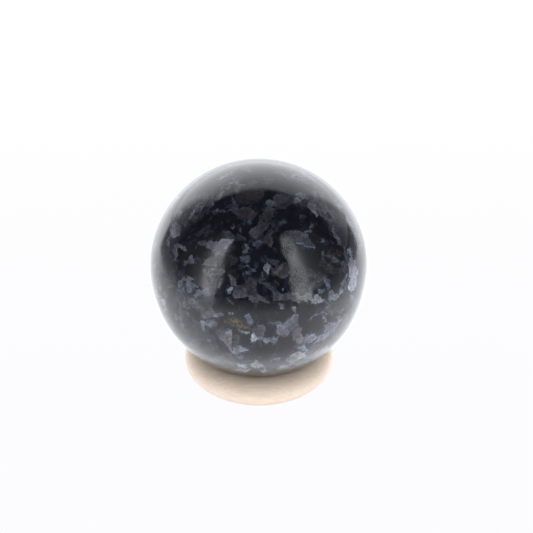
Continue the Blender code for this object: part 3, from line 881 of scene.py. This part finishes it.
def lay_front(field, points, random):
    """Stamps the grains laid out by hand along the line of sight."""
    radius = ball_radius / MM
    towards = points @ sight
    spread = camera_distance / MM / (camera_distance / MM - towards)
    across = points @ sight_right * spread
    up = points @ sight_up * spread
    for kind, rows in FRONT_GRAINS.items():
        for right, above, length, width, turn in rows:
            corners = wedge(length, width, turn, random) + (right, above)
            depth = towards - surface_depth(right, above, radius)
            colour = grain_colour(kind, random)
            stamp(field, across, up, depth, corners, FRONT_DEPTH, colour, turn, random)
    for kind, outlines in FRONT_PLATES.items():
        for outline in outlines:
            corners = np.array(outline)
            depth = towards - surface_depth(*corners.mean(axis=0), radius)
            colour = grain_colour(kind, random)
            stamp(field, across, up, depth, corners, FRONT_DEPTH, colour, PLATE_TURN, random)
    for right, above, length, width, turn in FRONT_HOLES:
        corners = wedge(length, width, turn, random) + (right, above)
        hole = outline_distance(across, up, corners)
        field["edge"] = np.where(towards > 0, np.maximum(field["edge"], -hole - HOLE_EDGE), field["edge"])
    for name, patches in (("rust", FRONT_RUST), ("sand_and_glint", FRONT_SAND_AND_GLINT), ("haze", FRONT_HAZE)):
        for right, above, length, width, turn, strength in patches:
            angle = math.radians(turn)
            along = (across - right) * math.cos(angle) + (up - above) * math.sin(angle)
            sideways = (up - above) * math.cos(angle) - (across - right) * math.sin(angle)
            patch = soft_patch(along / length * 2, sideways / width * 2) * strength
            field[name] = np.where(towards > 0, np.maximum(field[name], patch), field[name])


# %% Grains drawn at random
SMALL_CLUSTERS = 330
SMALL_CLOSEST = 0.72
SMALL_OFFSET = 1.5
SMALL_KINDS = {"dim lavender": 0.14, "low lavender": 0.20, "low mauve": 0.12, "mid lavender": 0.24,
               "mid blue": 0.10, "bright lavender": 0.20}
BACK_GROUPS = 105
BACK_CLOSEST = -0.03
BACK_OFFSET = 1.6
BACK_TURN = 35
BACK_KINDS = {"mid lavender": 0.24, "low lavender": 0.16, "bright lavender": 0.14, "mid blue": 0.09,
              "mid mauve": 0.08, "low mauve": 0.08, "bright blue": 0.05, "white pale": 0.06,
              "bright pink": 0.04, "dim lavender": 0.06}
# Name, chance in each group, half length in mm
BACK_PATCHES = (("rust", 0.12, 2.0), ("sand_and_glint", 0.25, 3.5))
PATCH_SHAPE = 0.6
PATCH_STRENGTH = 0.8


def look_along(points, closest, random):
    """Looks at the ball along a random normal whose cosine with the line of sight is at most closest;
    returns the points' places across and up, and their depth."""
    normal = sight
    while normal @ sight > closest:
        normal = random.normal(size=3)
        normal /= np.linalg.norm(normal)
    first = np.cross(normal, random.normal(size=3))
    first /= np.linalg.norm(first)
    second = np.cross(normal, first)
    return points @ first, points @ second, points @ normal - ball_radius / MM


def pick(kinds, random):
    """One of the kinds, by the chance that each has."""
    return random.choice(list(kinds), p=list(kinds.values()))


def scatter_small(field, points, random):
    """Stamps clusters of small dull grains wherever the view grazes the ball or can't reach it, which is
    where the photograph shows the stone thick with them."""
    for _ in range(SMALL_CLUSTERS):
        across, up, depth = look_along(points, SMALL_CLOSEST, random)
        for _ in range(random.integers(2, 6)):
            length = random.gamma(3.0, 0.55) + 0.5
            width = min(random.gamma(3.0, 0.28) + 0.25, length)
            corners = wedge(length, width, random.uniform(0, 180), random)
            corners += random.normal(0, SMALL_OFFSET, 2)
            colour = grain_colour(pick(SMALL_KINDS, random), random)
            stamp(field, across, up, depth, corners, BACK_DEPTH, colour, 0, random)


def lay_back(field, points, random):
    """Stamps groups of one to four grains round random places on the far side, and a few rusty patches and
    sandy patches with painted glints."""
    for _ in range(BACK_GROUPS):
        across, up, depth = look_along(points, BACK_CLOSEST, random)
        group_turn = random.uniform(0, 180)
        for _ in range(random.integers(1, 5)):
            length = random.gamma(4.0, 0.8)
            width = min(random.gamma(3.0, 0.45) + 0.35, length)
            turn = group_turn + random.normal(0, BACK_TURN)
            offset = random.normal(0, BACK_OFFSET, 2)
            kind = pick(BACK_KINDS, random)
            corners = wedge(length, width, turn, random) + offset
            colour = grain_colour(kind, random)
            stamp(field, across, up, depth, corners, BACK_DEPTH, colour, turn, random)
        for name, chance, reach in BACK_PATCHES:
            if random.uniform() < chance:
                patch = soft_patch(across / reach, up / reach / PATCH_SHAPE) * (depth > -BACK_DEPTH)
                field[name] = np.maximum(field[name], PATCH_STRENGTH * patch)


# %% The whole pattern
def grow_grains(directions):
    """The whole pattern at the ball's vertices. Before anything is measured, each point is shifted a little
    by noise, which makes straight sides ragged as real grains are."""
    random = np.random.default_rng(SEED)
    points = directions * ball_radius / MM
    shift = np.zeros_like(points)
    for cell, amount in WARPS:
        for axis in range(3):
            shift[:, axis] += amount * lattice_noise(directions, cell, random)
    points = points + shift
    field = make_field(points)
    scatter_small(field, points, random)
    lay_front(field, points, random)
    lay_back(field, points, random)
    return field


field = grow_grains(directions)
print(f"{np.mean(field['edge'] < 0) * 100:.0f} percent of the ball is grain")

# %% [markdown]
# ## A grain effect for both finishes
# Stone and wood both need fine unevenness of a stated size: mottled feldspar, sandy polish, fibres. One
# node group makes it. It takes a place, a size in millimetres and a low and a high value, and gives a noise
# between them. Both materials place the same group with values of their own.

# %% Shared node group
def make_unevenness():
    """Noise with features of the given size in mm, stretched from low to high."""
    group = bpy.data.node_groups.new("unevenness", "ShaderNodeTree")
    group.interface.new_socket("Place", in_out="INPUT", socket_type="NodeSocketVector")
    for name, value in (("Size", 1.0), ("Detail", 2.0), ("Low", 0.0), ("High", 1.0)):
        socket = group.interface.new_socket(name, in_out="INPUT", socket_type="NodeSocketFloat")
        socket.default_value = value
    group.interface.new_socket("Value", in_out="OUTPUT", socket_type="NodeSocketFloat")
    entry = group.nodes.new("NodeGroupInput").outputs
    exit_node = group.nodes.new("NodeGroupOutput")
    scale = arithmetic(group, "DIVIDE", 1000.0, entry["Size"])
    inputs = {"Vector": entry["Place"], "Scale": scale, "Detail": entry["Detail"], "Roughness": 0.6}
    noise = add_node(group, "ShaderNodeTexNoise", inputs).outputs["Fac"]
    value = remap(group, noise, 0.3, 0.7, entry["Low"], entry["High"], curve="LINEAR")
    group.links.new(value, exit_node.inputs["Value"])
    return group


unevenness_group = make_unevenness()


def unevenness(tree, place, size, low, high, detail=2.0):
    """Places the shared group in a material; returns its value."""
    inputs = {"Place": place, "Size": size, "Detail": detail, "Low": low, "High": high}
    return add_node(tree, "ShaderNodeGroup", inputs, node_tree=unevenness_group).outputs["Value"]


# %% [markdown]
# ## Polished stone
# The ground is nearly black with a breath of indigo, with dim shards and a haze of half-buried grains near
# the others. Grains are drawn from the stored distance: a crisp mask with a finely ragged edge, a lighter
# rim, cloudy mottling and thin cleavage lines along the lath. Rust is a scatter of gold and brown specks in
# its patches. The polish isn't perfect: hard and soft minerals leave a very fine relief, which makes the
# mirrored lights look sandy. A faint bump and a rougher finish give that relief in sandy patches, and pale
# specks painted into the colour there stand in for the glints of the mirrored lights.

# %% Stone material
GROUND_DARK = (0.0028, 0.0033, 0.0057, 1.0)
GROUND_LIGHT = (0.0098, 0.0119, 0.0205, 1.0)
HAZE = (0.043, 0.051, 0.074, 1.0)
SHARD = (0.037, 0.043, 0.064, 1.0)
RIM_TINT = (1.02, 1.10, 1.13, 1.0)
CORE_TINT = (0.97, 0.90, 0.87, 1.0)
RUST_DARK = (0.030, 0.025, 0.018, 1.0)
RUST_OLIVE = (0.125, 0.106, 0.066, 1.0)
RUST_GOLD = (0.31, 0.215, 0.105, 1.0)
# Painted glint: pale specks in the sandy patches, in place of the speckled mirror image of the lights
PAINTED_GLINT_PALE = (0.115, 0.118, 0.108, 1.0)
STORED_VALUES = ("edge", "lie", "rust", "sand_and_glint", "haze")
SHARD_SIZE = 1.3
POLISH_RELIEF = 0.016 * MM


def make_stone():
    """Near-black ground, pale grains from the vertex fields, rust specks, a faint sandy relief, and pale
    specks painted into the sandy patches as glints of the lights.
    """
    material, tree, output = new_material("stone_finish")
    place = add_node(tree, "ShaderNodeTexCoord").outputs["Object"]
    edge, lie, rust, sand_and_glint, haze = [stored(tree, "stone_" + name) for name in STORED_VALUES]
    tint = stored(tree, "stone_colour", "Color")

    ragged = arithmetic(tree, "ADD", edge, unevenness(tree, place, 0.75, -0.34, 0.34, detail=5.0))
    softness = unevenness(tree, place, 2.2, 0.03, 0.20, detail=1.0)
    mask = remap(tree, ragged, softness, arithmetic(tree, "MULTIPLY", softness, -1.0))
    core = remap(tree, ragged, -0.15, -0.85)

    cloud = unevenness(tree, place, 1.3, 0.45, 1.30, detail=4.0)
    mottle = unevenness(tree, place, 0.42, 0.70, 1.30, detail=3.0)
    wavy = arithmetic(tree, "ADD", lie, unevenness(tree, place, 1.6, -0.35, 0.35))
    stripes = arithmetic(tree, "SINE", arithmetic(tree, "MULTIPLY", wavy, 12.0))
    shade = arithmetic(tree, "MULTIPLY", cloud, arithmetic(tree, "MULTIPLY_ADD", stripes, 0.07, mottle))
    layered = mix_colours(tree, core, RIM_TINT, CORE_TINT)
    layered = mix_colours(tree, 1.0, layered, tint, blend="MULTIPLY")
    grain = mix_colours(tree, 1.0, layered, shade, blend="MULTIPLY")

    uneven = unevenness(tree, place, 2.4, 0.0, 1.0, detail=4.0)
    ground = mix_colours(tree, uneven, GROUND_DARK, GROUND_LIGHT)
    twist = {"Vector": place, "Rotation": (0.6, 0.4, 0.9), "Scale": (1.0, 1.0, 0.5)}
    twisted = add_node(tree, "ShaderNodeMapping", twist).outputs[0]
    shape = {"Vector": twisted, "Scale": 1000 / SHARD_SIZE}
    cells = add_node(tree, "ShaderNodeTexVoronoi", shape).outputs["Color"]
    chance = add_node(tree, "ShaderNodeSeparateColor", {0: cells}).outputs
    joints = add_node(tree, "ShaderNodeTexVoronoi", shape, feature="DISTANCE_TO_EDGE").outputs["Distance"]
    chosen = remap(tree, chance[0], 0.62, 0.66)
    lucky = arithmetic(tree, "MULTIPLY", chosen, remap(tree, joints, 0.02, 0.20))
    nearby = arithmetic(tree, "MULTIPLY_ADD", remap(tree, edge, 2.4, 0.3), 0.85, 0.08)
    shards = arithmetic(tree, "MULTIPLY", lucky, arithmetic(tree, "MULTIPLY", nearby, chance[1]))
    ground = mix_colours(tree, shards, ground, SHARD)
    veil = arithmetic(tree, "ADD", edge, unevenness(tree, place, 1.7, -1.1, 1.3, detail=5.0))
    veil = arithmetic(tree, "MULTIPLY_ADD", haze, -1.4, veil)
    thin = unevenness(tree, place, 0.5, 0.05, 1.05, detail=3.0)
    veil = arithmetic(tree, "MULTIPLY", remap(tree, veil, 0.40, -0.45), thin)
    ground = mix_colours(tree, veil, ground, HAZE)
    stone = mix_colours(tree, mask, ground, grain)

    specks = unevenness(tree, place, 0.45, -0.25, 1.0, detail=2.0)
    warm = mix_colours(tree, remap(tree, rust, 0.65, 1.05), RUST_OLIVE, RUST_GOLD)
    stain = mix_colours(tree, specks, RUST_DARK, warm)
    stained = arithmetic(tree, "MULTIPLY", rust, unevenness(tree, place, 0.8, -0.4, 1.6, detail=3.0))
    stained = remap(tree, stained, 0.15, 0.75, 0.0, 0.85)
    stone = mix_colours(tree, stained, stone, stain)

    # Sandy polish is rougher and has a fine relief. The pale specks mixed into the colour there are painted
    # glints of the mirrored lights.
    patchy = arithmetic(tree, "MULTIPLY", sand_and_glint, unevenness(tree, place, 1.5, 0.3, 1.5, detail=2.0))
    painted_glints = remap(tree, unevenness(tree, place, 0.30, 0.0, 1.0, detail=2.0), 0.50, 0.85)
    stone = mix_colours(tree, arithmetic(tree, "MULTIPLY", painted_glints, patchy), stone, PAINTED_GLINT_PALE)
    depth = arithmetic(tree, "MULTIPLY_ADD", patchy, 1.7, 0.15)
    relief = arithmetic(tree, "MULTIPLY", depth, unevenness(tree, place, 0.32, 0.0, 1.0, detail=2.0))
    relief = arithmetic(tree, "MULTIPLY_ADD", mask, 0.15, relief)
    rough = unevenness(tree, place, 0.8, 0.05, 0.09, detail=2.0)
    rough = arithmetic(tree, "MULTIPLY_ADD", patchy, 0.12, rough)
    rough = arithmetic(tree, "MULTIPLY_ADD", mask, 0.05, rough)
    finish = {"Base Color": stone, "Roughness": rough, "IOR": 1.55}
    join_shader(tree, output, relief, POLISH_RELIEF, finish)
    return material


ball = mesh_piece("polished_ball", ball_centre + directions * ball_radius, ball_faces, make_stone())
for name in STORED_VALUES:
    give_value(ball, "stone_" + name, field[name])
give_colour(ball, "stone_colour", field["colour"])
print(f"{ball.name} has {len(ball.data.polygons)} faces")

# %% [markdown]
# ## The ring's surface
# A ring stand is turned on a lathe: one round section carried in a circle. So the ring is a torus on a grid
# of two angles, one round the section and one round the ring, both closing on themselves. The foot is
# pressed flat with a soft maximum, which leaves a small rounding where a sharp cut would show a hard line.
# Where the ball sits, wood and stone touch, so the section swells a hair towards the ball there.

# %% Shape of the ring
RING_STEPS = 384
SECTION_STEPS = 112
FOOT_SOFTNESS = 0.06 * MM
SECTION_RADIUS = 4.0 * MM
SEAT_SWELL = 0.28 * MM
SEAT_SPREAD = math.radians(26)


def ring_sizes():
    """Height of the section's centre and radius of the circle that it runs on, from the CAD ring's box: the
    section's top is its radius above its centre, and it reaches out by its radius from its circle."""
    height = ring_high.z - ring_low.z
    outer = (ring_high.x - ring_low.x) / 2
    return height - SECTION_RADIUS, outer - SECTION_RADIUS


section_height, circle_radius = ring_sizes()


def ring_surface(rings, sections):
    """Points of the ring: radius = circle + section * cos(s), height = centre + section * sin(s), with the
    section a little larger towards the ball, and the height below the foot eased to zero by
    k * log(1 + exp(height / k))."""
    around = np.arange(rings) / rings * math.tau
    s = np.arange(sections) / sections * math.tau
    to_ball = math.atan2(ball_centre[2] - section_height, -circle_radius)
    away = (s - to_ball + math.pi) % math.tau - math.pi
    section = SECTION_RADIUS + SEAT_SWELL * np.exp(-((away / SEAT_SPREAD) ** 2))
    radius = circle_radius + section * np.cos(s)
    height = section_height + section * np.sin(s)
    height = FOOT_SOFTNESS * np.logaddexp(0, height / FOOT_SOFTNESS)
    around, radius = np.meshgrid(around, radius, indexing="ij")
    height = np.broadcast_to(height, radius.shape)
    points = np.stack([radius * np.cos(around), radius * np.sin(around), height], axis=-1)
    return points.reshape(-1, 3), grid_faces(rings, sections, wrap_rows=True, wrap_columns=True)


ring_points, ring_faces = ring_surface(RING_STEPS, SECTION_STEPS)
gap = np.linalg.norm(ring_points - ball_centre, axis=1).min() - ball_radius
print(f"section centre {section_height / MM:.2f} mm up, surface {gap / MM:.3f} mm from the ball")

# %% [markdown]
# ## Pale wood
# Plain pale wood, turned and sanded, left bare. The ring was cut from a board, so its fibres run straight
# through it from left to right and aren't bent round it: a pattern that is stretched along one axis of the
# object gives that for nothing, with long streaks front and back and short end-grain flecks on the sides.

# %% Wood material
WOOD_PALE = (0.89, 0.755, 0.625, 1.0)
WOOD_DEEP = (0.77, 0.60, 0.45, 1.0)
WOOD_SHEEN = 0.80
WOOD_RELIEF = 0.010 * MM
FIBRE_STRETCH = 14.0
FIBRE_TURN = 0.35


def make_wood():
    """Straight pale grain: broad bands of early and late wood, fine fibres and short darker flecks."""
    material, tree, output = new_material("wood_finish")
    place = add_node(tree, "ShaderNodeTexCoord").outputs["Object"]
    squeeze = (1.0 / FIBRE_STRETCH, 1.0, 1.0)
    inputs = {"Vector": place, "Scale": squeeze, "Rotation": (0.0, 0.0, FIBRE_TURN)}
    along = add_node(tree, "ShaderNodeMapping", inputs).outputs[0]
    bands = unevenness(tree, along, 2.6, 0.0, 1.0, detail=2.0)
    fibres = unevenness(tree, along, 0.60, 0.0, 1.0, detail=3.0)
    flecks = remap(tree, unevenness(tree, along, 0.22, 0.0, 1.0, detail=1.0), 0.80, 1.0)
    share = arithmetic(tree, "MULTIPLY_ADD", fibres, 0.80, arithmetic(tree, "MULTIPLY", bands, 0.20))
    share = arithmetic(tree, "MULTIPLY_ADD", flecks, 0.30, share)
    colour = mix_colours(tree, share, WOOD_PALE, WOOD_DEEP)
    relief = arithmetic(tree, "MULTIPLY_ADD", flecks, -1.0, fibres)
    rough = unevenness(tree, along, 0.8, 0.46, 0.60, detail=2.0)
    finish = {"Base Color": colour, "Roughness": rough, "IOR": 1.45, "Specular IOR Level": WOOD_SHEEN}
    join_shader(tree, output, relief, WOOD_RELIEF, finish)
    return material


ring = mesh_piece("turned_ring", ring_points, ring_faces, make_wood())
print(f"{ring.name} has {len(ring.data.polygons)} faces")

# %% [markdown]
# ## A fill light for the ring
# The ball hides the upper half of the ring from the lights, and its mirror would show any light that is
# added. Light linking solves that: a wide light in front is received by the ring alone.

# %% Fill light
FILL_SIZE = (4.0, 1.1)
FILL_PLACE = (0.0, -2.0, 1.40)
FILL_GLOW = 1.18


def make_fill(receiver):
    """An area light whose brightness is its power over pi times its area. Only the receiver gets its
    light."""
    light = bpy.data.lights.new("ring_fill", "AREA")
    light.shape = "RECTANGLE"
    light.size, light.size_y = FILL_SIZE
    light.energy = FILL_GLOW * math.pi * FILL_SIZE[0] * FILL_SIZE[1]
    fill = bpy.data.objects.new("ring_fill", light)
    fill.location = FILL_PLACE
    fill.rotation_mode = "QUATERNION"
    fill.rotation_quaternion = Vector(FILL_PLACE).to_track_quat("Z", "Y")
    fill.visible_camera = False
    fill.visible_glossy = False
    bpy.context.scene.collection.objects.link(fill)
    lit_by_fill = bpy.data.collections.new("lit_by_fill")
    lit_by_fill.objects.link(receiver)
    fill.light_linking.receiver_collection = lit_by_fill
    print(f"{fill.name} gives {light.energy:.1f} W to {receiver.name}")


make_fill(ring)

# %% [markdown]
# ## Tie the pieces to the frame
# Each new piece rides on the part's one body and takes the place of its CAD solid, which is hidden.

# %% Ride and replace
for piece, node, slot in ((ball, "stone_sphere", "polished_stone"), (ring, "ring_stand", "pale_wood")):
    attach(piece, "root")
    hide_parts(node)

bpy.context.view_layer.update()
